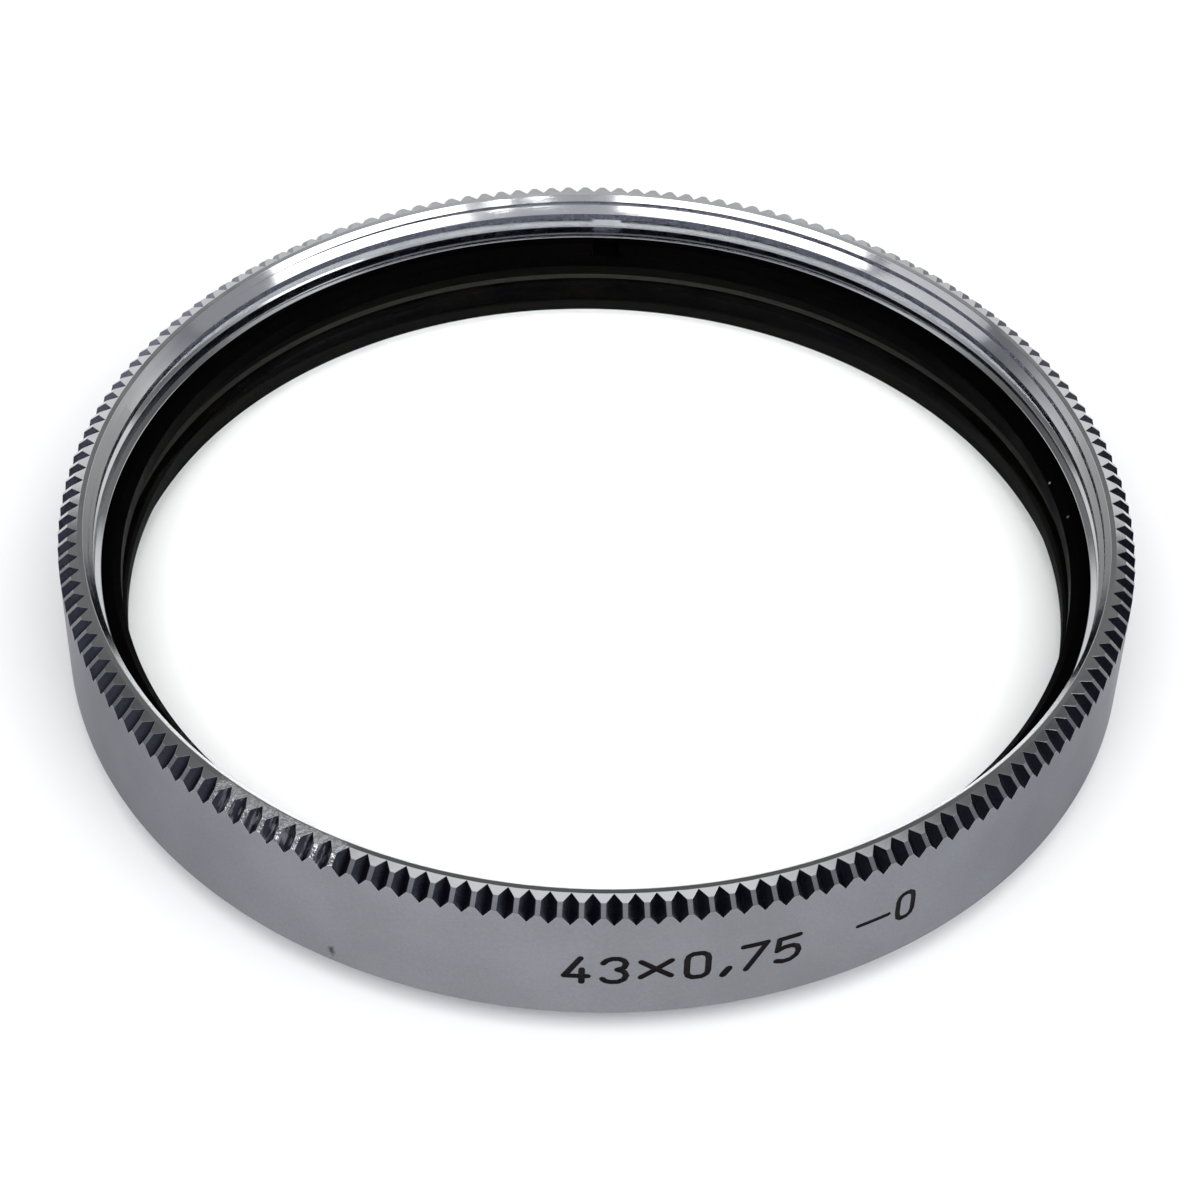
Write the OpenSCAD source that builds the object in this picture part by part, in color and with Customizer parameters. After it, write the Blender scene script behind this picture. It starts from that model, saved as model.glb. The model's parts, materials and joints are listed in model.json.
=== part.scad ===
// Round glass filter in a screw-in mount, seen as it lies on its rear face.
// Origin at the centre of the rear face, +Z along the optical axis to the front.

/* [Thread] */
// Nominal diameter of the filter thread, front and rear
thread_d = 43; // [30:0.5:60]
// Pitch of the filter thread
thread_pitch = 0.75; // [0.5:0.25:1]
// Depth of the front thread, from the front face to its shoulder
front_thread_l = 2.05; // [1.5:0.05:4]
// Length of the rear thread below the wall
rear_thread_l = 1.15; // [0.8:0.05:1.8]
// Radial allowance of the rear thread below the nominal size
male_play = 0.05; // [0.02:0.01:0.1]
// Chamfer at the end of the rear thread
rear_chamfer = 0.2; // [0.1:0.05:0.3]

/* [Rim] */
// Metal outside the nominal thread
rim_t = 1; // [0.8:0.05:2]
// Width of the flat land between the knurl and the mouth chamfer
land_w = 0.21; // [0.1:0.01:0.3]
// Chamfer at the lower edge of the wall
foot_chamfer = 0.15; // [0.05:0.05:0.3]

/* [Knurl] */
// Number of grooves round the rim
knurl_n = 173; // [60:1:180]
// Chamfer of the front corner that carries the grooves
corner_c = 0.42; // [0.3:0.02:0.6]
// How far a groove runs in over the front face
knurl_in = 0.84; // [0.7:0.02:0.95]
// How far a groove runs down the wall
knurl_down = 0.88; // [0.7:0.02:1.4]
// Included angle of a groove
knurl_angle = 90; // [60:5:100]

/* [Seat] */
// Step from the front thread in to the pocket of the glass
pocket_step = 0.25; // [0.22:0.01:0.4]
// How far the lip under the glass reaches in from the pocket
lip_w = 0.89; // [0.5:0.01:2]
// Thickness of the lip
lip_t = 0.7; // [0.4:0.05:1.5]
// Depth of the recess behind the lip
rear_recess = 1.2; // [0.8:0.05:3]
// Wall of the rear thread, between its recess and its crest
rear_wall_t = 0.95; // [0.6:0.05:1.2]

/* [Glass] */
// Thickness of the glass
glass_t = 2.2; // [1:0.1:4]
// Radial clearance of the glass in its pocket
glass_play = 0.15; // [0.05:0.05:0.3]
// Bevel at both edges of the glass
glass_bevel = 0.2; // [0.1:0.05:0.4]

/* [Retaining ring] */
// Height of the retaining ring
retainer_t = 1.1; // [0.7:0.05:2]
// Radial width of the retaining ring
retainer_w = 0.74; // [0.5:0.02:1.5]
// Radial clearance of the retaining ring in the pocket
retainer_play = 0.05; // [0.02:0.01:0.1]
// Bevel at the ring's inner front edge
retainer_bevel = 0.3; // [0.1:0.05:0.4]
// Width of the two spanner slots
slot_w = 1.2; // [0.8:0.1:2]
// Depth of the spanner slots
slot_d = 0.5; // [0.3:0.05:0.6]

/* [Hidden] */
$fn = 192;

thread_r = thread_d / 2;
// A cut thread is five eighths as deep as a sharp triangle with 60 degree sides
thread_depth = 5 / 8 * thread_pitch * sqrt(3) / 2;
// The front bore is drawn at the crests of its thread, and so is the rear thread
bore_r = thread_r - thread_depth;
male_r = thread_r - male_play;
wall_r = thread_r + rim_t;
pocket_r = bore_r - pocket_step;
lip_r = pocket_r - lip_w;
recess_r = male_r - rear_wall_t;

// Levels up from the rear face
lip_z = rear_recess;
seat_z = lip_z + lip_t;
glass_top_z = seat_z + glass_t;
shoulder_z = glass_top_z + retainer_t;
top_z = shoulder_z + front_thread_l;

glass_r = pocket_r - glass_play;
retainer_r = pocket_r - retainer_play;
retainer_in_r = retainer_r - retainer_w;

// The groove's root line runs from the front face down and out to the wall
root_r = wall_r - knurl_in;
mouth_r = root_r - land_w;
root_tilt = atan2(knurl_down, knurl_in);
root_l = norm([knurl_in, knurl_down]);
// Depth below each edge of the corner chamfer, square to the root line
depth_in = (knurl_in - corner_c) * sin(root_tilt);
depth_out = (knurl_down - corner_c) * cos(root_tilt);
run_out = 0.1;
cutter_h = max(depth_in, depth_out) + 0.04;

// Turned section of the mount, rear face first, outside then inside
module ring_section() {
    polygon([
        [recess_r, 0],
        [male_r - rear_chamfer, 0],
        [male_r, rear_chamfer],
        [male_r, rear_thread_l],
        [wall_r - foot_chamfer, rear_thread_l],
        [wall_r, rear_thread_l + foot_chamfer],
        [wall_r, top_z - corner_c],
        [wall_r - corner_c, top_z],
        [mouth_r, top_z],
        [bore_r, top_z - (mouth_r - bore_r)],
        [bore_r, shoulder_z],
        [pocket_r, shoulder_z],
        [pocket_r, seat_z],
        [lip_r, seat_z],
        [lip_r, lip_z],
        [recess_r, lip_z]
    ]);
}

// One straight V, cut slantwise across the front corner at angle 0
module knurl_groove() {
    half_w = cutter_h * tan(knurl_angle / 2);
    translate([root_r, 0, top_z])
        rotate([0, 90 + root_tilt, 0])
            translate([0, 0, -run_out])
                linear_extrude(root_l + 2 * run_out)
                    polygon([[0, 0], [-cutter_h, half_w], [-cutter_h, -half_w]]);
}

module mount_ring() {
    color("silver")
        difference() {
            rotate_extrude() ring_section();
            for (i = [0 : knurl_n - 1])
                rotate([0, 0, i * 360 / knurl_n]) knurl_groove();
        }
}

module filter_glass() {
    color("lightcyan", 0.4)
        rotate_extrude()
            polygon([
                [0, seat_z],
                [glass_r - glass_bevel, seat_z],
                [glass_r, seat_z + glass_bevel],
                [glass_r, glass_top_z - glass_bevel],
                [glass_r - glass_bevel, glass_top_z],
                [0, glass_top_z]
            ]);
}

module retaining_ring() {
    color("black")
        difference() {
            rotate_extrude()
                polygon([
                    [retainer_in_r, glass_top_z],
                    [retainer_r, glass_top_z],
                    [retainer_r, shoulder_z],
                    [retainer_in_r + retainer_bevel, shoulder_z],
                    [retainer_in_r, shoulder_z - retainer_bevel]
                ]);
            for (side = [-1, 1])
                translate([-slot_w / 2, side * (retainer_in_r + retainer_w / 2) - retainer_w, shoulder_z - slot_d])
                    cube([slot_w, 2 * retainer_w, slot_d + 1]);
        }
}

mount_ring();
filter_glass();
retaining_ring();
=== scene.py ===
import json
import math

import bmesh
import bpy
from mathutils import Matrix, Vector


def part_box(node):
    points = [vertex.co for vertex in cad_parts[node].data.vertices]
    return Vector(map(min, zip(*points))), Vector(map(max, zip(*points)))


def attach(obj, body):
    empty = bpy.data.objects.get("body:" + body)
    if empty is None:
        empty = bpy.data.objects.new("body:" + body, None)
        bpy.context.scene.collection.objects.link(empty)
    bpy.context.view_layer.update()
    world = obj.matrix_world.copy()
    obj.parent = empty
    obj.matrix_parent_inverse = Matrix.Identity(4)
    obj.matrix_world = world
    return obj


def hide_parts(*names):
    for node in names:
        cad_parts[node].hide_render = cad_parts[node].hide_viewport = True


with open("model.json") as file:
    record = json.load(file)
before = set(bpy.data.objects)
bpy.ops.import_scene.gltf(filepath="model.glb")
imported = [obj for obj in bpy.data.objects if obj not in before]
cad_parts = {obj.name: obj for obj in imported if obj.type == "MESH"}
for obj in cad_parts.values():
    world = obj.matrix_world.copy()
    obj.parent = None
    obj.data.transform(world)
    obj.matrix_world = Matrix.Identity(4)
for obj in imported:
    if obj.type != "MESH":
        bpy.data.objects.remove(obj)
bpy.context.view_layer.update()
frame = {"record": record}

mm = 0.001
mountLow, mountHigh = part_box("mount_ring")
glassLow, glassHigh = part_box("filter_glass")
clampLow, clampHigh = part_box("retaining_ring")
mounts = {m["name"]: m for m in frame["record"]["mounts"]}


# small helpers for work in edit mode

def pickNothing():
    if bpy.context.mode != "OBJECT":
        bpy.ops.object.mode_set(mode="OBJECT")
    bpy.ops.object.select_all(action="DESELECT")


def pick(obj):
    pickNothing()
    obj.select_set(True)
    bpy.context.view_layer.objects.active = obj


def editMesh(obj, mode="FACE"):
    pick(obj)
    bpy.ops.object.mode_set(mode="EDIT")
    bpy.ops.mesh.select_mode(type=mode)
    bpy.ops.mesh.select_all(action="DESELECT")
    return bmesh.from_edit_mesh(obj.data)


def showPicked(obj, bm):
    bm.select_flush_mode()
    bmesh.update_edit_mesh(obj.data)


def pickFaces(obj, bm, test):
    for f in bm.faces:
        f.select = test(f)
    showPicked(obj, bm)


def pickEdges(obj, bm, test):
    for e in bm.edges:
        e.select = test(e)
    showPicked(obj, bm)


def distanceFromAxis(v):
    return math.hypot(v.co.x, v.co.y)


def near(a, b, gap=0.004 * mm):
    return abs(a - b) < gap


def slide(up):
    bpy.ops.transform.translate(value=(0, 0, up))


def stepIn(width, up=0.0):
    bpy.ops.mesh.inset(thickness=width, depth=0)
    if up:
        slide(up)


def drawOut(up):
    bpy.ops.mesh.extrude_region_move(TRANSFORM_OT_translate={"value": (0, 0, up)})


def applyModifier(obj, kind, **values):
    pick(obj)
    mod = obj.modifiers.new(kind.title(), kind)
    for key, value in values.items():
        setattr(mod, key, value)
    bpy.ops.object.modifier_apply(modifier=mod.name)


def cutAway(obj, cutter):
    applyModifier(obj, "BOOLEAN", object=cutter, operation="DIFFERENCE", solver="MANIFOLD")
    bpy.data.objects.remove(cutter)


def roundEdges(obj, test, width, segments=2):
    bm = editMesh(obj, "EDGE")
    pickEdges(obj, bm, test)
    bpy.ops.mesh.bevel(offset=width, segments=segments, affect="EDGES", clamp_overlap=True)
    pickNothing()


def isRim(radius, height):
    def test(e):
        return all(near(distanceFromAxis(v), radius) and near(v.co.z, height) for v in e.verts)
    return test


def finishShading(obj, angle=7.5):
    pick(obj)
    bpy.ops.object.shade_smooth_by_angle(angle=math.radians(angle))
    applyModifier(obj, "WEIGHTED_NORMAL", keep_sharp=True, weight=60)


# small helpers for materials

def newMaterial(name):
    mat = bpy.data.materials.new(name)
    mat.use_nodes = True
    tree = mat.node_tree
    return mat, tree, tree.nodes["Principled BSDF"]


def node(tree, kind, links=None, **values):
    n = tree.nodes.new("ShaderNode" + kind)
    for key, value in values.items():
        setattr(n, key, value)
    for socket, source in (links or {}).items():
        if isinstance(source, (int, float, tuple)):
            n.inputs[socket].default_value = source
        else:
            tree.links.new(source, n.inputs[socket])
    return n


def math2(tree, operation, a, b=0.0, clamp=False):
    return node(tree, "Math", {0: a, 1: b}, operation=operation, use_clamp=clamp).outputs[0]


def mapRange(tree, value, fromLow, fromHigh, toLow=0.0, toHigh=1.0):
    n = node(tree, "MapRange", {"Value": value, "From Min": fromLow, "From Max": fromHigh,
                                "To Min": toLow, "To Max": toHigh})
    return n.outputs["Result"]


def mixColour(tree, part, first, second):
    n = node(tree, "Mix", {"Factor": part, 6: first, 7: second}, data_type="RGBA")
    return n.outputs[2]


def noise(tree, vector, scale, detail=3.0):
    return node(tree, "TexNoise", {"Vector": vector, "Scale": scale, "Detail": detail}).outputs["Fac"]


def raiseBump(tree, surface, height, strength, distance):
    bump = node(tree, "Bump", {"Height": height, "Strength": strength, "Distance": distance})
    tree.links.new(bump.outputs["Normal"], surface.inputs["Normal"])


def darker(colour, share):
    return tuple(share * c for c in colour[:3]) + (1,)


def placeOnObject(tree):
    return node(tree, "TexCoord").outputs["Object"]


def places(tree):
    spot = placeOnObject(tree)
    xyz = node(tree, "SeparateXYZ", {"Vector": spot})
    flat = node(tree, "CombineXYZ", {"X": xyz.outputs["X"], "Y": xyz.outputs["Y"]})
    radius = node(tree, "VectorMath", {0: flat.outputs["Vector"]}, operation="LENGTH").outputs["Value"]
    return spot, xyz, radius


def latheLines(tree, radius, height, scale):
    across = node(tree, "CombineXYZ", {"X": radius, "Z": height})
    return noise(tree, across.outputs["Vector"], scale)


def spotMask(tree, spot, place, size, ragged, tall):
    away = node(tree, "VectorMath", {0: spot, 1: place}, operation="SUBTRACT").outputs["Vector"]
    away = node(tree, "VectorMath", {0: away, 1: (1, 1, 1 / tall)}, operation="MULTIPLY").outputs["Vector"]
    away = node(tree, "VectorMath", {0: away}, operation="LENGTH").outputs["Value"]
    rough = noise(tree, spot, ragged, 2.0)
    edge = math2(tree, "MULTIPLY", rough, size)
    return mapRange(tree, math2(tree, "ADD", away, edge), size * 0.6, size * 1.2, 1.0, 0.0)


# the turned mount: one cylinder whose caps are stepped in like a lathe's cuts

mount = {
    "grooves": 173,
    "cornerChamfer": 0.42 * mm,
    "grooveIn": 0.84 * mm,
    "grooveDown": 0.88 * mm,
    "grooveAngle": math.radians(90),
    "grooveTurn": math.radians(0.14),
    "landWidth": 0.21 * mm,
    "cornerDrop": 0.06 * mm,
    "cornerLow": 0.035 * mm,
    "reliefIn": 0.23 * mm,
    "reliefDeep": 0.30 * mm,
    "shoulderRise": 0.09 * mm,
    "footChamfer": 0.15 * mm,
    "endChamfer": 0.2 * mm,
    "rearThread": 1.15 * mm,
    "pocketStep": 0.25 * mm,
    "lipWidth": 0.89 * mm,
    "lipHeight": 1.2 * mm,
    "rearWall": 0.95 * mm,
    "knurlEdge": 0.008 * mm,
    "rimEdge": 0.03 * mm,
    "burr": (0.02 * mm, -22.36 * mm, 6.55 * mm),
    "burrSize": (0.16 * mm, 0.09 * mm, 0.11 * mm),
    "pit": (0.05 * mm, -22.44 * mm, 6.52 * mm),
    "pitSize": 0.05 * mm,
}
wallR = mountHigh.x
topZ = mountHigh.z
boreR = mounts["front_thread"]["dims"]["r_mm"] * mm
rearR = mounts["rear_thread"]["dims"]["r_mm"] * mm
cornerR = wallR - mount["cornerChamfer"]
rootR = wallR - mount["grooveIn"]
mouthR = rootR - mount["landWidth"]
reliefR = mouthR - mount["reliefIn"]
cornerZ = topZ - mount["cornerDrop"]
wallTop = topZ - mount["cornerChamfer"] - mount["cornerLow"]
pocketR = boreR - mount["pocketStep"]
lipR = pocketR - mount["lipWidth"]
footZ = mount["rearThread"]
columnStep = math.tau / (3 * mount["grooves"])


def turnMount():
    s = mount
    wallLow = footZ + s["footChamfer"]
    bpy.ops.mesh.primitive_cylinder_add(
        vertices=3 * s["grooves"], radius=wallR, depth=wallTop - wallLow,
        location=(0, 0, (wallTop + wallLow) / 2), rotation=(0, 0, s["grooveTurn"] - math.pi / 2))
    ring = bpy.context.object
    ring.name = "mountRing"
    bpy.ops.object.transform_apply(location=True, rotation=True, scale=True)

    bm = editMesh(ring)
    pickFaces(ring, bm, lambda f: len(f.verts) > 4 and f.normal.z > 0.5)
    stepIn(s["cornerChamfer"], cornerZ - wallTop)
    stepIn(cornerR - rootR, s["cornerDrop"])
    stepIn(rootR - mouthR)
    stepIn(s["reliefIn"], -s["reliefIn"])
    drawOut(-s["reliefDeep"])
    stepIn(reliefR - boreR, boreR - reliefR)
    drawOut(clampHigh.z + s["shoulderRise"] - topZ + s["reliefIn"] + s["reliefDeep"] + reliefR - boreR)
    stepIn(s["pocketStep"], -s["shoulderRise"])
    drawOut(glassLow.z - clampHigh.z)
    stepIn(s["lipWidth"])
    drawOut(s["lipHeight"] - glassLow.z)
    bpy.ops.mesh.delete(type="FACE")

    bm = editMesh(ring)
    pickFaces(ring, bm, lambda f: len(f.verts) > 4 and f.normal.z < -0.5)
    stepIn(s["footChamfer"], -s["footChamfer"])
    stepIn(wallR - s["footChamfer"] - rearR)
    drawOut(s["endChamfer"] - s["rearThread"])
    stepIn(s["endChamfer"], -s["endChamfer"])
    stepIn(s["rearWall"] - s["endChamfer"])
    drawOut(s["lipHeight"])
    stepIn(rearR - s["rearWall"] - lipR)
    bpy.ops.mesh.delete(type="FACE")
    editMesh(ring, "VERT")
    bpy.ops.mesh.select_all(action="SELECT")
    bpy.ops.mesh.remove_doubles(threshold=0.001 * mm)
    bpy.ops.mesh.normals_make_consistent(inside=False)
    pickNothing()
    print("mount turned")
    return ring


# the corner's chamfer is one band of faces: every third column is drawn down to a groove's root

def cutKnurl(ring):
    s = mount
    rootZ = topZ - s["grooveDown"]
    tilt = math.atan2(s["grooveDown"], s["grooveIn"])
    spread = math.tan(s["grooveAngle"] / 2)
    halfTop = (s["grooveIn"] - s["cornerChamfer"]) * math.sin(tilt) * spread
    halfWall = (s["grooveDown"] - s["cornerChamfer"]) * math.cos(tilt) * spread

    def inColumn(v, radius, height, third):
        if not (near(distanceFromAxis(v), radius) and near(v.co.z, height)):
            return False
        return round((math.atan2(v.co.y, v.co.x) - s["grooveTurn"]) / columnStep) % 3 == third

    bm = editMesh(ring, "VERT")
    for radius, height, half in ((cornerR, cornerZ, halfTop), (wallR, wallTop, halfWall)):
        turn = math.asin(half / radius) - columnStep
        for third, way in ((1, 1), (2, -1)):
            flank = [v for v in bm.verts if inColumn(v, radius, height, third)]
            bmesh.ops.rotate(bm, verts=flank, cent=(0, 0, 0), matrix=Matrix.Rotation(way * turn, 3, "Z"))
    inner = [v for v in bm.verts if inColumn(v, cornerR, cornerZ, 0)]
    bmesh.ops.scale(bm, verts=inner, vec=(rootR / cornerR, rootR / cornerR, 1))
    bmesh.ops.translate(bm, verts=inner, vec=(0, 0, topZ - cornerZ))
    bmesh.ops.remove_doubles(bm, verts=bm.verts, dist=0.001 * mm)
    lower = [v for v in bm.verts if inColumn(v, wallR, wallTop, 0)]
    bmesh.ops.translate(bm, verts=lower, vec=(0, 0, rootZ - wallTop))
    bmesh.update_edit_mesh(ring.data)
    pickNothing()

    def onKnurl(v):
        corner = near(distanceFromAxis(v), cornerR) and near(v.co.z, cornerZ)
        side = near(distanceFromAxis(v), wallR) and v.co.z > rootZ - 0.01 * mm
        return corner or side or inColumn(v, rootR, topZ, 0)

    def isValley(e):
        return abs(e.verts[0].co.z - e.verts[1].co.z) > 0.9 * s["grooveDown"]

    roundEdges(ring, lambda e: all(onKnurl(v) for v in e.verts) and not isValley(e), s["knurlEdge"])
    for v in ring.data.vertices:
        v.co.z = min(v.co.z, topZ)
    print("knurl cut:", len(ring.data.polygons), "faces")


def easeRims(ring):
    s = mount
    roundEdges(ring, isRim(mouthR, topZ), 0.5 * s["rimEdge"])
    rims = [(pocketR, clampHigh.z), (lipR, glassLow.z), (lipR, s["lipHeight"]),
            (wallR, footZ + s["footChamfer"]), (wallR - s["footChamfer"], footZ),
            (rearR, s["endChamfer"]), (rearR - s["endChamfer"], 0), (rearR - s["rearWall"], 0)]
    for radius, height in rims:
        roundEdges(ring, isRim(radius, height), s["rimEdge"])


# the damaged groove at the front: a small burr with a pit beside it

def smallBall(place, size):
    bpy.ops.mesh.primitive_uv_sphere_add(segments=24, ring_count=12, radius=1, location=place)
    ball = bpy.context.object
    ball.scale = size
    bpy.ops.object.transform_apply(location=True, rotation=True, scale=True)
    return ball


def addBurr(ring):
    burr = smallBall(mount["burr"], mount["burrSize"])
    applyModifier(ring, "BOOLEAN", object=burr, operation="UNION", solver="MANIFOLD")
    bpy.data.objects.remove(burr)
    cutAway(ring, smallBall(mount["pit"], (mount["pitSize"],) * 3))


# both threads: a flat tooth outline is screwed into a cutter and taken out of the ring

thread = {
    "pitch": 0.75 * mm,
    "rootFlat": 0.07 * mm,
    "flank": 30,
    "frontRootR": 21.46 * mm,
    "rearRootR": 21.0 * mm,
    "flare": 0.045 * mm,
    "stepsInTurn": 180,
    "frontLow": 5.56 * mm,
    "frontHigh": 6.90 * mm,
    "frontPhase": 5.87 * mm,
    "lead": 0.155 * mm,
    "leadTurns": 1.2,
    "upperFlank": 22,
    "rearLow": -0.45 * mm,
    "rearHigh": 0.80 * mm,
    "rearPhase": 0.1 * mm,
    "fade": 70,
}


def threadCutter(name, rootRadius, openRadius, low, high, heightAtBack, fadeLow, fadeHigh, lead=0.0):
    s = thread
    out = 1 if rootRadius > openRadius else -1
    slope = math.tan(math.radians(s["flank"]))
    upperSlope = math.tan(math.radians(s["upperFlank"] if lead else s["flank"]))
    flareR = openRadius + out * 0.25 * s["flare"]
    halfRoot = s["rootFlat"] / 2
    halfOpen = halfRoot + abs(rootRadius - flareR) * slope
    upperOpen = halfRoot + abs(rootRadius - flareR) * upperSlope
    turns = (high - low) / s["pitch"]
    start = math.pi / 2 + (low - heightAtBack) / s["pitch"] * math.tau

    bpy.ops.mesh.primitive_plane_add(size=1)
    cutter = bpy.context.object
    cutter.name = name
    corners = [(rootRadius, -halfRoot), (flareR, -halfOpen), (rootRadius, halfRoot), (flareR, upperOpen)]
    for v, (r, up) in zip(cutter.data.vertices, corners):
        v.co = (r, 0, up)
    bm = editMesh(cutter, "EDGE")
    pickEdges(cutter, bm, lambda e: all(near(v.co.x, flareR) for v in e.verts))
    bpy.ops.mesh.extrude_region_move(TRANSFORM_OT_translate={"value": (-out * s["flare"], 0, 0)})
    bpy.ops.transform.resize(value=(1, 1, 1 + s["flare"] / halfOpen))
    bpy.ops.mesh.select_all(action="SELECT")
    bpy.ops.transform.translate(value=(0, 0, low))
    bpy.ops.transform.rotate(value=-start, orient_axis="Z", center_override=(0, 0, 0))
    bpy.ops.mesh.delete(type="ONLY_FACE")
    bm = editMesh(cutter, "EDGE")
    pickEdges(cutter, bm, lambda e: all(near(distanceFromAxis(v), flareR) for v in e.verts))
    bpy.ops.mesh.delete(type="EDGE")
    pickNothing()

    steps = round(turns * s["stepsInTurn"])
    applyModifier(cutter, "SCREW", axis="Z", angle=turns * math.tau, screw_offset=high - low,
                  iterations=1, steps=steps, render_steps=steps)
    editMesh(cutter, "EDGE")
    bpy.ops.mesh.select_all(action="SELECT")
    bpy.ops.mesh.fill_holes(sides=0)
    bpy.ops.mesh.select_all(action="SELECT")
    bpy.ops.mesh.normals_make_consistent(inside=False)
    pickNothing()

    # the tool draws back from the cut over part of a turn
    fade = s["fade"] / 360
    depth = abs(rootRadius - openRadius) + 2 * s["flare"]
    for v in cutter.data.vertices:
        part = (math.atan2(v.co.y, v.co.x) - start) / math.tau
        turn = part + round((v.co.z - low) / s["pitch"] - part)
        aside = v.co.z - low - turn * s["pitch"]
        if aside > -2 * s["rootFlat"]:
            v.co.z += lead * max(0, min(1, 2 * (turn - turns + s["leadTurns"])))
        back = 0
        if fadeLow and turn < fade:
            back = 1 - turn / fade
        if fadeHigh and turns - turn < fade:
            back = 1 - (turns - turn) / fade
        r = math.hypot(v.co.x, v.co.y)
        v.co.xy *= (r - out * depth * max(0, min(1, back)) ** 2) / r
    return cutter


def cutThreads(ring):
    s = thread
    front = threadCutter("frontCutter", s["frontRootR"], boreR, s["frontLow"], s["frontHigh"],
                         s["frontPhase"], True, True, s["lead"])
    cutAway(ring, front)
    rear = threadCutter("rearCutter", s["rearRootR"], rearR, s["rearLow"], s["rearHigh"],
                        s["rearPhase"], False, True)
    cutAway(ring, rear)
    print("threads cut:", len(ring.data.polygons), "faces")


# plain size numbers engraved in the wall: single strokes with round ends,
# each point in mm from its figure's middle

figures = {
    "lift": 0.070 * mm,
    "strokeR": 0.152 * mm,
    "height": 3.82 * mm,
    "dotGap": 0.12,
    "fourLong": [(0.16, 0.68), (-0.44, -0.35)],
    "fourBar": [(-0.44, -0.35), (0.44, -0.35)],
    "fourShort": [(0.22, 0.03), (0.22, -0.68)],
    "threeUpper": [(-0.42, 0.42), (-0.31, 0.57), (-0.10, 0.67), (0.15, 0.67), (0.35, 0.57), (0.43, 0.37),
                   (0.36, 0.16), (0.12, 0.04)],
    "threeLower": [(0.12, 0.04), (0.36, -0.08), (0.45, -0.30), (0.37, -0.53), (0.15, -0.67), (-0.12, -0.68),
                   (-0.33, -0.62), (-0.44, -0.50)],
    "crossUp": [(-0.57, -0.44), (0.57, 0.44)],
    "crossDown": [(-0.57, 0.44), (0.57, -0.44)],
    "zero": [(-0.18, 0.68), (0.18, 0.68), (0.36, 0.56), (0.41, 0.36), (0.41, -0.36), (0.36, -0.56),
             (0.18, -0.68), (-0.18, -0.68), (-0.36, -0.56), (-0.41, -0.36), (-0.41, 0.36), (-0.36, 0.56),
             (-0.18, 0.68)],
    "comma": [(0.10, 0.16), (-0.11, -0.16)],
    "sevenBar": [(-0.47, 0.64), (0.46, 0.68)],
    "sevenLong": [(0.46, 0.68), (-0.32, -0.68)],
    "fiveBar": [(0.44, 0.68), (-0.36, 0.63)],
    "fiveShort": [(-0.36, 0.63), (-0.42, 0.00)],
    "fiveBowl": [(-0.42, 0.00), (-0.14, 0.13), (0.18, 0.14), (0.38, 0.03), (0.45, -0.22), (0.36, -0.49),
                 (0.12, -0.66), (-0.16, -0.69), (-0.43, -0.60)],
    "dash": [(-0.68, 0), (0.68, 0)],
    "slimZero": [(-0.12, 0.70), (0.14, 0.70), (0.30, 0.56), (0.35, 0.30), (0.35, -0.36), (0.28, -0.58),
                 (0.12, -0.70), (-0.14, -0.70), (-0.30, -0.56), (-0.35, -0.30), (-0.35, 0.36), (-0.28, 0.58),
                 (-0.12, 0.70)],
}
row = [
    (-0.30, 0, 1, ("fourLong", "fourBar", "fourShort")),
    (1.15, 0, 1, ("threeUpper", "threeLower")),
    (2.73, 0, 1, ("crossUp", "crossDown")),
    (4.31, 0, 1, ("zero",)),
    (5.43, -0.61, 1.15, ("comma",)),
    (6.54, 0, 1, ("sevenBar", "sevenLong")),
    (7.86, 0, 1, ("fiveBar", "fiveShort", "fiveBowl")),
    (11.50, 0, 0.85, ("dash",)),
    (12.96, 0.1, 0.95, ("slimZero",)),
]


def alongWall(x, up, radius):
    turn = x * mm / wallR
    return Vector((radius * math.sin(turn), -radius * math.cos(turn), figures["height"] + up * mm))


def strokeCutter(points, closed, thick):
    s = figures
    walked = []
    for a, b in zip(points, points[1:]):
        parts = max(1, round(math.dist(a, b) / s["dotGap"]))
        for i in range(parts):
            walked.append((a[0] + (b[0] - a[0]) * i / parts, a[1] + (b[1] - a[1]) * i / parts))
    radii = [1] * len(walked)
    if not closed:
        walked.append(points[-1])
        radii.append(1)
        tube = s["strokeR"] * thick / mm
        for end, nextOne, atStart in ((walked[0], walked[1], True), (walked[-1], walked[-2], False)):
            gap = math.dist(end, nextOne)
            way = ((end[0] - nextOne[0]) / gap, (end[1] - nextOne[1]) / gap)
            for reach in (0.5, 0.8, 0.97):
                tip = (end[0] + way[0] * reach * tube, end[1] + way[1] * reach * tube)
                walked.insert(0 if atStart else len(walked), tip)
                radii.insert(0 if atStart else len(radii), math.sqrt(1 - reach ** 2))
    curve = bpy.data.curves.new("stroke", "CURVE")
    curve.dimensions = "3D"
    curve.bevel_depth = s["strokeR"] * thick
    curve.bevel_resolution = 3
    curve.use_fill_caps = not closed
    line = curve.splines.new("POLY")
    line.points.add(len(walked) - 1)
    line.use_cyclic_u = closed
    for point, (x, up), radius in zip(line.points, walked, radii):
        point.co = (*alongWall(x, up, wallR + s["lift"]), 1)
        point.radius = radius
    stroke = bpy.data.objects.new("stroke", curve)
    bpy.context.scene.collection.objects.link(stroke)
    pick(stroke)
    bpy.ops.object.convert(target="MESH")
    stroke = bpy.context.object
    editMesh(stroke, "VERT")
    bpy.ops.mesh.select_all(action="SELECT")
    bpy.ops.mesh.remove_doubles(threshold=0.002 * mm)
    bpy.ops.mesh.normals_make_consistent(inside=False)
    pickNothing()
    return stroke


def engraveRow(ring):
    for place, lift, thick, strokes in row:
        for name in strokes:
            points = [(place + x, lift + up) for x, up in figures[name]]
            cutter = strokeCutter(points, points[0] == points[-1], thick)
            cutAway(ring, cutter)
    print("figures engraved:", len(ring.data.polygons), "faces")


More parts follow.
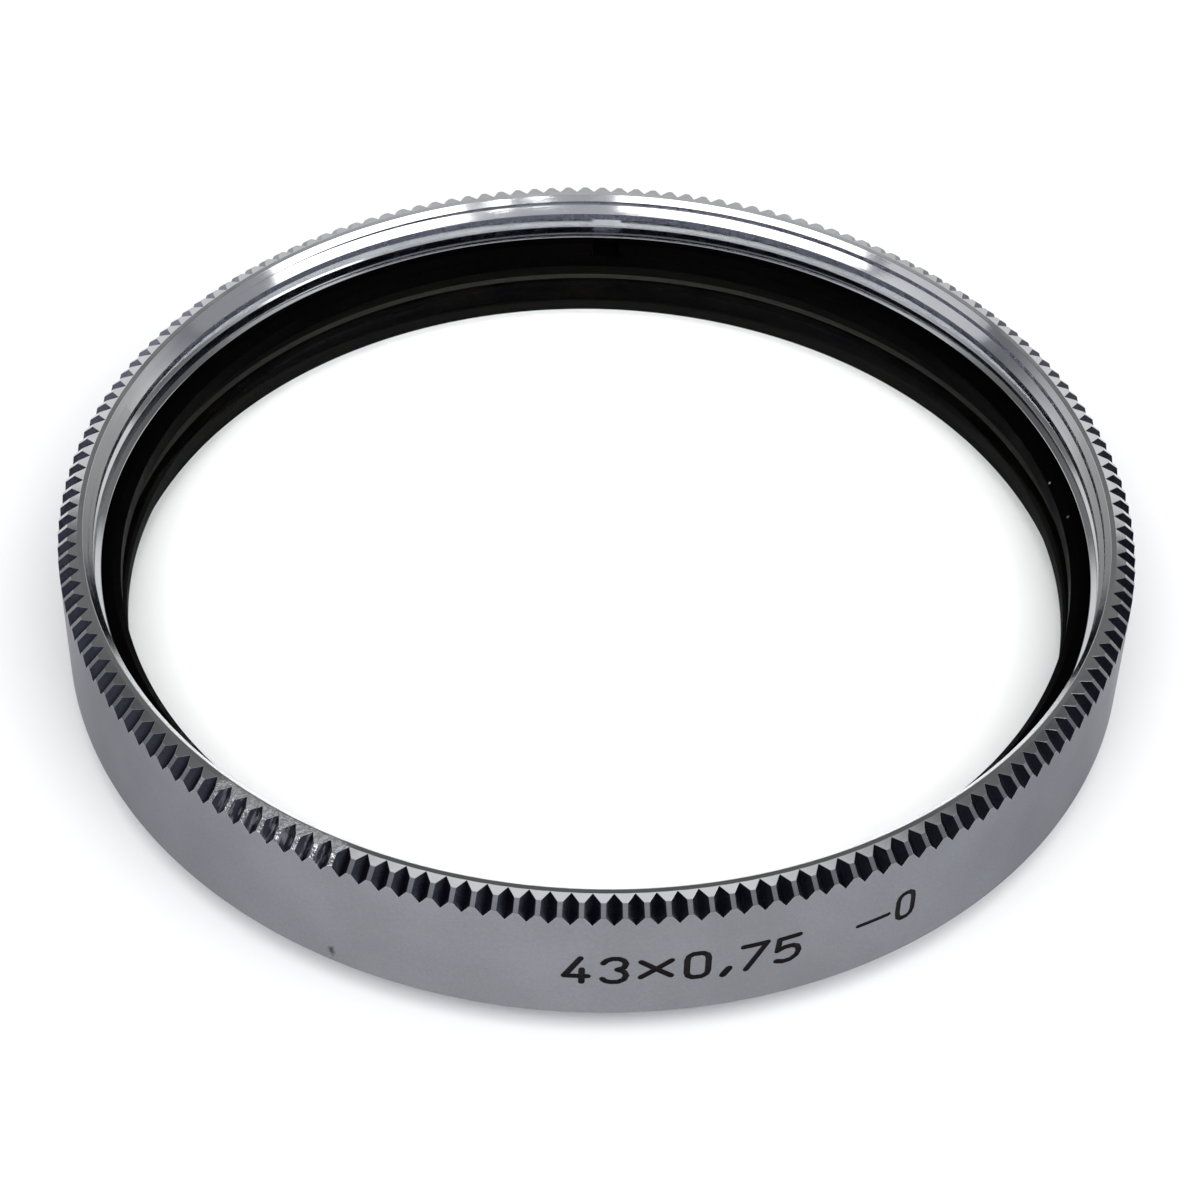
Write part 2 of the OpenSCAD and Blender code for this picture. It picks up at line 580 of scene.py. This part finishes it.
mountRing = turnMount()
cutKnurl(mountRing)
easeRims(mountRing)
cutThreads(mountRing)
addBurr(mountRing)
engraveRow(mountRing)
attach(mountRing, "root")
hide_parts("mount_ring")
finishShading(mountRing)


# chrome outside, satin on the wall and bright where the tools cut last; black paint inside

chrome = {
    "satin": (0.262, 0.268, 0.288, 1),
    "bright": (0.62, 0.63, 0.65, 1),
    # the next two colours are painted shade for the knurl grooves and the thread crests
    "paintedShade": (0.17, 0.18, 0.23, 1),
    "paintedEdgeShade": (0.035, 0.035, 0.05, 1),
    "satinRough": 0.30,
    "brightRough": 0.10,
    "stain": (-9.73 * mm, -20.29 * mm, 1.88 * mm),
    "scuffFrom": 25.5,
    "scuffTo": 39.5,
}


def angleFromFront(tree, xyz):
    return math2(tree, "ARCTAN2", xyz.outputs["X"], math2(tree, "MULTIPLY", xyz.outputs["Y"], -1.0))


def scuffPatch(tree, angle, inner, outer):
    s = chrome
    middle = -math.radians((s["scuffFrom"] + s["scuffTo"]) / 2)
    half = math.radians((s["scuffTo"] - s["scuffFrom"]) / 2)
    away = math2(tree, "ABSOLUTE", math2(tree, "SUBTRACT", angle, middle))
    return mapRange(tree, away, half + inner, half + outer, 1.0, 0.0)


def satinChrome():
    s = chrome
    mat, tree, surface = newMaterial("satinChrome")
    spot, xyz, radius = places(tree)
    surface.inputs["Metallic"].default_value = 1
    cloud = noise(tree, spot, 260.0, 2.0)
    grain = noise(tree, spot, 9000.0, 2.0)
    lines = latheLines(tree, radius, xyz.outputs["Z"], 14000.0)
    surface.inputs["Specular Tint"].default_value = (0.55, 0.55, 0.57, 1)
    stain = spotMask(tree, spot, s["stain"], 0.30 * mm, 6000.0, 1.7)
    mottle = math2(tree, "ADD", math2(tree, "MULTIPLY", cloud, 0.6), math2(tree, "MULTIPLY", grain, 0.6))
    mottle = mapRange(tree, mottle, 0.45, 0.75)
    tone = mixColour(tree, mottle, s["satin"], darker(s["satin"], 0.86))
    tone = mixColour(tree, stain, tone, (0.09, 0.095, 0.085, 1))
    tree.links.new(tone, surface.inputs["Base Color"])
    rough = mapRange(tree, cloud, 0.3, 0.7, s["satinRough"] - 0.02, s["satinRough"] + 0.03)
    rough = math2(tree, "ADD", rough, math2(tree, "MULTIPLY", stain, 0.3))
    tree.links.new(rough, surface.inputs["Roughness"])
    height = math2(tree, "ADD", grain, math2(tree, "MULTIPLY", lines, 0.6))
    raiseBump(tree, surface, height, 0.35, 0.004 * mm)
    return mat


def brightChrome():
    s = chrome
    mat, tree, surface = newMaterial("brightChrome")
    spot, xyz, radius = places(tree)
    surface.inputs["Metallic"].default_value = 1
    scuffed = scuffPatch(tree, angleFromFront(tree, xyz), 0.0, 0.03)
    onKnurl = mapRange(tree, radius, mouthR, mouthR + 0.1 * mm)
    scuffed = math2(tree, "MULTIPLY", scuffed, onKnurl)
    cloud = noise(tree, spot, 700.0)
    grain = noise(tree, spot, 5200.0)
    lines = latheLines(tree, radius, xyz.outputs["Z"], 9000.0)
    tone = mixColour(tree, cloud, s["bright"], darker(s["bright"], 0.9))
    tree.links.new(tone, surface.inputs["Base Color"])
    rough = mapRange(tree, cloud, 0.3, 0.7, s["brightRough"] - 0.03, s["brightRough"] + 0.04)
    rough = math2(tree, "ADD", rough, math2(tree, "MULTIPLY", scuffed, 0.12))
    tree.links.new(rough, surface.inputs["Roughness"])
    fine = node(tree, "Bump", {"Height": lines, "Strength": 0.3, "Distance": 0.004 * mm})
    worn = node(tree, "Bump", {"Height": grain, "Strength": math2(tree, "MULTIPLY", scuffed, 0.9),
                               "Distance": 0.05 * mm, "Normal": fine.outputs["Normal"]})
    tree.links.new(worn.outputs["Normal"], surface.inputs["Normal"])
    return mat


# grooves and thread crests are dull, with a dark chrome base that is painted shade, and a patch of scuffed
# grooves at the left of the front keeps bright chrome in streaks

def paintedShadeChrome():
    s = chrome
    mat, tree, surface = newMaterial("paintedShadeChrome")
    spot, xyz, radius = places(tree)
    surface.inputs["Metallic"].default_value = 1
    angle = angleFromFront(tree, xyz)
    scuffed = scuffPatch(tree, angle, -0.02, 0.02)
    scuffed = math2(tree, "MULTIPLY", scuffed, mapRange(tree, radius, rootR - 0.1 * mm, rootR))
    along = math2(tree, "MULTIPLY", math2(tree, "SUBTRACT", xyz.outputs["Z"], radius), 0.12)
    roundWall = math2(tree, "MULTIPLY", angle, wallR)
    streakSpot = node(tree, "CombineXYZ", {"X": roundWall, "Y": along}).outputs["Vector"]
    streak = noise(tree, streakSpot, 9000.0, 2.0)
    scuffed = math2(tree, "MULTIPLY", scuffed, mapRange(tree, streak, 0.50, 0.62))
    cloud = noise(tree, spot, 1500.0)

    # painted shade: each groove is darker at its edges than along its root, and darker towards the thread's
    # relief
    turned = math2(tree, "SUBTRACT", angle, mount["grooveTurn"])
    count = math2(tree, "MULTIPLY", turned, mount["grooves"] / math.tau)
    fraction = math2(tree, "FRACT", math2(tree, "ADD", count, 200.5))
    fromRoot = math2(tree, "ABSOLUTE", math2(tree, "SUBTRACT", fraction, 0.5))
    edge = mapRange(tree, fromRoot, 0.08, 0.33)
    edge = math2(tree, "MULTIPLY", edge, mapRange(tree, radius, mouthR, rootR))
    edge = math2(tree, "MAXIMUM", edge, mapRange(tree, radius, reliefR, mouthR, 0.6, 0.0))
    tone = mixColour(tree, cloud, s["paintedShade"], darker(s["paintedShade"], 0.6))
    tone = mixColour(tree, edge, tone, s["paintedEdgeShade"])
    tone = mixColour(tree, scuffed, tone, s["bright"])
    tree.links.new(tone, surface.inputs["Base Color"])
    tree.links.new(mapRange(tree, cloud, 0.3, 0.7, 0.2, 0.34), surface.inputs["Roughness"])
    raiseBump(tree, surface, cloud, 0.4, 0.02 * mm)
    return mat


def blackInside():
    mat, tree, surface = newMaterial("blackInside")
    spot, xyz, radius = places(tree)
    cloud = noise(tree, spot, 500.0)
    lines = latheLines(tree, radius, xyz.outputs["Z"], 7000.0)
    patches = mapRange(tree, cloud, 0.35, 0.7)
    tone = mixColour(tree, patches, (0.0003, 0.0002, 0.0003, 1), (0.0018, 0.0015, 0.0012, 1))
    tree.links.new(tone, surface.inputs["Base Color"])
    tree.links.new(mapRange(tree, cloud, 0.3, 0.7, 0.5, 0.65), surface.inputs["Roughness"])
    surface.inputs["Specular IOR Level"].default_value = 0.01
    raiseBump(tree, surface, lines, 0.5, 0.01 * mm)
    return mat


def figureInk():
    mat, tree, surface = newMaterial("figureInk")
    spot = placeOnObject(tree)
    cloud = noise(tree, spot, 4000.0)
    tone = mixColour(tree, cloud, (0.002, 0.0015, 0.002, 1), (0.008, 0.006, 0.007, 1))
    tree.links.new(tone, surface.inputs["Base Color"])
    tree.links.new(mapRange(tree, cloud, 0.3, 0.7, 0.45, 0.7), surface.inputs["Roughness"])
    surface.inputs["Specular IOR Level"].default_value = 0.1
    raiseBump(tree, surface, cloud, 0.5, 0.01 * mm)
    return mat


# which finish each face gets: later lines win over earlier ones

paint = {
    "slack": 0.01 * mm,
    "hair": 0.001 * mm,
    "burrReach": 0.17 * mm,
    "pitReach": 0.0505 * mm,
    "footReach": 0.2 * mm,
    "inkLow": 2.5 * mm,
    "inkHigh": 5 * mm,
    "inkDeep": 0.2 * mm,
    "inkSkin": 0.006 * mm,
    "inkTurn": math.radians(40),
}


def finishOf(f):
    s = paint
    slack, hair = s["slack"], s["hair"]
    bright, satin, black, ink, paintedShade = range(5)
    c = f.center
    r = math.hypot(c.x, c.y)
    finish = bright
    across = (f.normal.y * c.x - f.normal.x * c.y) / r
    upright = abs(f.normal.z)
    atBurr = (c - Vector(mount["burr"])).length < s["burrReach"]
    onKnurl = r > rootR and c.z > topZ - mount["grooveDown"] - slack
    # painted shade: knurl groove facets, the thread's relief wall and its crests take the dark chrome
    if onKnurl and abs(across) > 0.55 and not atBurr:
        finish = paintedShade
    inThread = clampHigh.z + mount["shoulderRise"] < c.z < topZ - mount["reliefIn"]
    if inThread and r < reliefR + slack and upright < 0.25:
        finish = paintedShade
    if r > wallR - slack and c.z < wallTop + hair and upright < 0.2:
        finish = satin
    if r > rearR + 2 * slack and c.z < footZ + s["footReach"]:
        finish = satin
    underClamp = 2 * slack < c.z < clampHigh.z - hair
    if underClamp and r < pocketR + hair and f.normal.z > -0.999:
        finish = black
    if underClamp and r < rearR - mount["rearWall"] + hair:
        finish = black
    inStroke = s["inkLow"] < c.z < s["inkHigh"] and wallR - s["inkDeep"] < r < wallR - s["inkSkin"]
    if inStroke and abs(math.atan2(c.x, -c.y)) < s["inkTurn"]:
        finish = ink
    if (c - Vector(mount["pit"])).length < s["pitReach"]:
        finish = ink
    return finish


def paintMount(ring):
    ring.data.materials.clear()
    for mat in (brightChrome(), satinChrome(), blackInside(), figureInk(), paintedShadeChrome()):
        ring.data.materials.append(mat)
    for f in ring.data.polygons:
        f.material_index = finishOf(f)
    print("mount painted:", [sum(f.material_index == i for f in ring.data.polygons) for i in range(5)])


paintMount(mountRing)


# the black ring that holds the glass down

clamp = {
    "width": 0.74 * mm,
    "bevel": 0.3 * mm,
    "slotWidth": 1.2 * mm,
    "slotDepth": 0.5 * mm,
    "edge": 0.025 * mm,
}


def turnClamp():
    s = clamp
    outR = clampHigh.x
    bpy.ops.mesh.primitive_cylinder_add(
        vertices=360, radius=outR, depth=clampHigh.z - clampLow.z,
        location=(0, 0, (clampHigh.z + clampLow.z) / 2))
    ring = bpy.context.object
    ring.name = "clampRing"
    bpy.ops.object.transform_apply(location=True, rotation=True, scale=True)
    bm = editMesh(ring)
    pickFaces(ring, bm, lambda f: len(f.verts) > 4 and f.normal.z > 0.5)
    stepIn(s["width"] - s["bevel"])
    stepIn(s["bevel"], -s["bevel"])
    drawOut(clampLow.z - clampHigh.z + s["bevel"])
    bpy.ops.mesh.delete(type="FACE")
    bm = editMesh(ring)
    pickFaces(ring, bm, lambda f: len(f.verts) > 4 and f.normal.z < -0.5)
    stepIn(s["width"])
    bpy.ops.mesh.delete(type="FACE")
    editMesh(ring, "VERT")
    bpy.ops.mesh.select_all(action="SELECT")
    bpy.ops.mesh.remove_doubles(threshold=0.001 * mm)
    bpy.ops.mesh.normals_make_consistent(inside=False)
    pickNothing()
    for way in (1, -1):
        bpy.ops.mesh.primitive_cube_add(size=1, location=(0, way * outR, clampHigh.z))
        cutter = bpy.context.object
        cutter.scale = (s["slotWidth"], 4 * s["width"], 2 * s["slotDepth"])
        bpy.ops.object.transform_apply(location=True, rotation=True, scale=True)
        cutAway(ring, cutter)
    applyModifier(ring, "BEVEL", width=s["edge"], segments=2, limit_method="ANGLE",
                  angle_limit=math.radians(30), harden_normals=False)
    print("clamp ring turned:", len(ring.data.polygons), "faces")
    return ring


clampRing = turnClamp()
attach(clampRing, "root")
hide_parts("retaining_ring")
finishShading(clampRing)


def clampBlack():
    mat, tree, surface = newMaterial("clampBlack")
    spot, xyz, radius = places(tree)
    cloud = noise(tree, spot, 350.0)
    lines = latheLines(tree, radius, xyz.outputs["Z"], 8000.0)
    speck = node(tree, "TexVoronoi", {"Vector": spot, "Scale": 900.0, "Randomness": 1.0})
    dust = mapRange(tree, speck.outputs["Distance"], 0.04, 0.08, 1.0, 0.0)
    dust = math2(tree, "MULTIPLY", dust, mapRange(tree, cloud, 0.55, 0.6))
    tone = mixColour(tree, cloud, (0.0003, 0.0002, 0.0003, 1), (0.0014, 0.0011, 0.0014, 1))
    tone = mixColour(tree, dust, tone, (0.20, 0.19, 0.18, 1))
    tree.links.new(tone, surface.inputs["Base Color"])
    rough = mapRange(tree, cloud, 0.3, 0.7, 0.42, 0.55)
    rough = math2(tree, "ADD", rough, math2(tree, "MULTIPLY", dust, 0.4))
    tree.links.new(rough, surface.inputs["Roughness"])
    surface.inputs["Specular IOR Level"].default_value = 0.01
    raiseBump(tree, surface, lines, 0.6, 0.01 * mm)
    return mat


clampRing.data.materials.clear()
clampRing.data.materials.append(clampBlack())


# the glass: a flat disc with ground bevels, a hair clear of the lip and the clamp ring

glass = {"bevel": 0.2 * mm, "clear": 0.004 * mm, "innerRing": 1.5 * mm}


def grindGlass():
    s = glass
    low = glassLow.z + s["clear"]
    high = glassHigh.z - s["clear"]
    bpy.ops.mesh.primitive_cylinder_add(
        vertices=360, radius=glassHigh.x, depth=high - low, location=(0, 0, (high + low) / 2))
    disc = bpy.context.object
    disc.name = "glassDisc"
    bpy.ops.object.transform_apply(location=True, rotation=True, scale=True)
    bm = editMesh(disc)
    for side in (1, -1):
        pickFaces(disc, bm, lambda f: len(f.verts) > 4 and f.normal.z * side > 0.5)
        bpy.ops.mesh.inset(thickness=s["innerRing"], depth=0)
        pickFaces(disc, bm, lambda f: len(f.verts) > 4 and f.normal.z * side > 0.5)
        bpy.ops.mesh.poke()
        bm = bmesh.from_edit_mesh(disc.data)
    pickNothing()
    applyModifier(disc, "BEVEL", width=s["bevel"], segments=1, limit_method="ANGLE",
                  angle_limit=math.radians(60))
    print("glass ground:", len(disc.data.polygons), "faces")
    return disc


glassDisc = grindGlass()
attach(glassDisc, "root")
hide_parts("filter_glass")
finishShading(glassDisc, 20)


def clearGlass():
    mat, tree, surface = newMaterial("clearGlass")
    surface.inputs["Base Color"].default_value = (0.985, 0.992, 0.985, 1)
    surface.inputs["Transmission Weight"].default_value = 1
    surface.inputs["IOR"].default_value = 1.52
    surface.inputs["Specular Tint"].default_value = (0.12, 0.15, 0.12, 1)
    smear = noise(tree, placeOnObject(tree), 120.0)
    tree.links.new(mapRange(tree, smear, 0.55, 0.8, 0.0, 0.01), surface.inputs["Roughness"])
    shadow = node(tree, "LightPath").outputs["Is Shadow Ray"]
    through = node(tree, "BsdfTransparent", {"Color": (0.96, 0.97, 0.96, 1)})
    both = node(tree, "MixShader", {0: shadow, 1: surface.outputs["BSDF"], 2: through.outputs["BSDF"]})
    tree.links.new(both.outputs["Shader"], tree.nodes["Material Output"].inputs["Surface"])
    return mat


def edgeBlack():
    mat, tree, surface = newMaterial("edgeBlack")
    spot = placeOnObject(tree)
    cloud = noise(tree, spot, 900.0)
    tone = mixColour(tree, cloud, (0.0006, 0.0006, 0.0006, 1), (0.003, 0.003, 0.0025, 1))
    tree.links.new(tone, surface.inputs["Base Color"])
    surface.inputs["Roughness"].default_value = 0.7
    surface.inputs["Specular IOR Level"].default_value = 0.03
    return mat


def groundBevel():
    mat, tree, surface = newMaterial("groundBevel")
    spot = placeOnObject(tree)
    grain = noise(tree, spot, 7000.0)
    tone = mixColour(tree, grain, (0.010, 0.0105, 0.009, 1), (0.022, 0.0225, 0.019, 1))
    tree.links.new(tone, surface.inputs["Base Color"])
    surface.inputs["Roughness"].default_value = 0.8
    surface.inputs["Specular IOR Level"].default_value = 0.1
    raiseBump(tree, surface, grain, 0.4, 0.01 * mm)
    return mat


glassDisc.data.materials.clear()
for mat in (clearGlass(), edgeBlack(), groundBevel()):
    glassDisc.data.materials.append(mat)
for f in glassDisc.data.polygons:
    f.material_index = 1 if abs(f.normal.z) < 0.3 else 2 if abs(f.normal.z) < 0.9 else 0


# camera at the photograph's place

view = {
    "lens": 94.57,
    "distance": 127.92 * mm,
    "elevation": math.radians(43.82),
    "turn": math.radians(0.12),
    "roll": math.radians(1.84),
    "aim": Vector((0.196 * mm, -5.982 * mm, 7.25 * mm)),
}


def placeCamera():
    forward = Vector((math.sin(view["turn"]) * math.cos(view["elevation"]),
                      math.cos(view["turn"]) * math.cos(view["elevation"]),
                      -math.sin(view["elevation"])))
    data = bpy.data.cameras.new("camera")
    data.lens = view["lens"]
    data.sensor_width = 36
    data.clip_start = 0.01
    cam = bpy.data.objects.new("camera", data)
    bpy.context.scene.collection.objects.link(cam)
    cam.location = view["aim"] - forward * view["distance"]
    cam.rotation_mode = "QUATERNION"
    look = forward.to_track_quat("-Z", "Y")
    cam.rotation_quaternion = look @ Matrix.Rotation(view["roll"], 3, "Z").to_quaternion()
    bpy.context.scene.camera = cam


placeCamera()


# a plain pale floor

pickNothing()
bpy.ops.mesh.primitive_plane_add(size=6, location=(0, 0, 0))
floor = bpy.context.object
floor.name = "floor"

floorPaint, floorTree, floorSurface = newMaterial("floorPaint")
floorSurface.inputs["Base Color"].default_value = (0.86, 0.86, 0.87, 1)
floorSurface.inputs["Roughness"].default_value = 0.7
floor.data.materials.append(floorPaint)


# a soft room: grey all round, brighter low behind and overhead, with a darker belt between them

room = {
    "side": (0.20, 0.205, 0.225, 1),
    "low": (0.05, 0.055, 0.08, 1),
    "belt": [(0.00, 0.30), (0.30, 0.50), (0.46, 0.95), (0.590, 0.95), (0.612, 0.22), (0.70, 0.21),
             (0.755, 0.12), (0.83, 0.20), (0.90, 1.05)],
    "overhead": (0.55, 0.56, 0.58, 1),
}


def softRange(tree, value, fromLow, fromHigh, toLow=0.0, toHigh=1.0):
    n = node(tree, "MapRange", {"Value": value, "From Min": fromLow, "From Max": fromHigh,
                                "To Min": toLow, "To Max": toHigh}, interpolation_type="SMOOTHSTEP")
    return n.outputs["Result"]


def lightRoom():
    s = room
    world = bpy.data.worlds.new("room")
    bpy.context.scene.world = world
    world.use_nodes = True
    tree = world.node_tree
    away = node(tree, "TexCoord").outputs["Generated"]
    xyz = node(tree, "SeparateXYZ", {"Vector": away})
    up = xyz.outputs["Z"]
    belt = node(tree, "ValToRGB", {"Fac": up})
    stops = belt.color_ramp.elements
    while len(stops) < len(s["belt"]):
        stops.new(1.0)
    for stop, (place, grey) in zip(stops, s["belt"]):
        stop.position = place
        stop.color = (grey, grey, grey, 1)
    behind = softRange(tree, xyz.outputs["Y"], 0.15, 0.5)
    high = softRange(tree, up, 0.60, 0.85)
    low = softRange(tree, up, 0.1, 0.35, 1.0, 0.0)
    walls = mixColour(tree, low, s["side"], s["low"])
    colour = mixColour(tree, high, walls, s["overhead"])
    colour = mixColour(tree, behind, colour, belt.outputs["Color"])
    tree.links.new(colour, tree.nodes["Background"].inputs["Color"])


lightRoom()


# a strong soft box on each side of the camera, three smaller boxes farther round, two small spots,
# and a wide fill that only lights matt things

lamps = {
    "leftBox": {"way": (-0.37, -0.49, 0.785), "size": (0.44, 0.11), "roll": 13, "radiance": 3.2},
    "rightBox": {"way": (0.61, -0.31, 0.725), "size": (0.36, 0.12), "roll": -20, "radiance": 3.2},
    "leftSoft": {"way": (-0.76, -0.06, 0.62), "size": (0.20, 0.24), "roll": 0, "radiance": 0.6},
    "rightSoft": {"way": (0.84, 0.08, 0.56), "size": (0.16, 0.24), "roll": 0, "radiance": 0.2},
    "rightTop": {"way": (0.45, 0.12, 0.885), "size": (0.12, 0.10), "roll": 0, "radiance": 2.6},
    "spotOne": {"way": (0.196, -0.576, 0.794), "size": (0.012, 0.02), "roll": 0, "radiance": 60},
    "spotTwo": {"way": (0.294, -0.546, 0.784), "size": (0.012, 0.02), "roll": 0, "radiance": 60},
    "fill": {"way": (0.04, -0.58, 0.81), "size": (1.10, 1.10), "roll": 0, "radiance": 2.6},
}
lampReach = 0.6
fillReach = 0.9
for name, s in lamps.items():
    lamp = bpy.data.lights.new(name, "AREA")
    lamp.shape = "RECTANGLE"
    lamp.size, lamp.size_y = s["size"]
    lamp.energy = s["radiance"] * math.pi * lamp.size * lamp.size_y
    holder = bpy.data.objects.new(name, lamp)
    bpy.context.scene.collection.objects.link(holder)
    way = Vector(s["way"]).normalized()
    holder.location = way * (fillReach if name == "fill" else lampReach)
    holder.rotation_mode = "QUATERNION"
    roll = Matrix.Rotation(math.radians(s["roll"]), 3, "Z").to_quaternion()
    holder.rotation_quaternion = (-way).to_track_quat("-Z", "Y") @ roll
    holder.visible_glossy = name != "fill"

bpy.context.scene.view_settings.view_transform = "Standard"
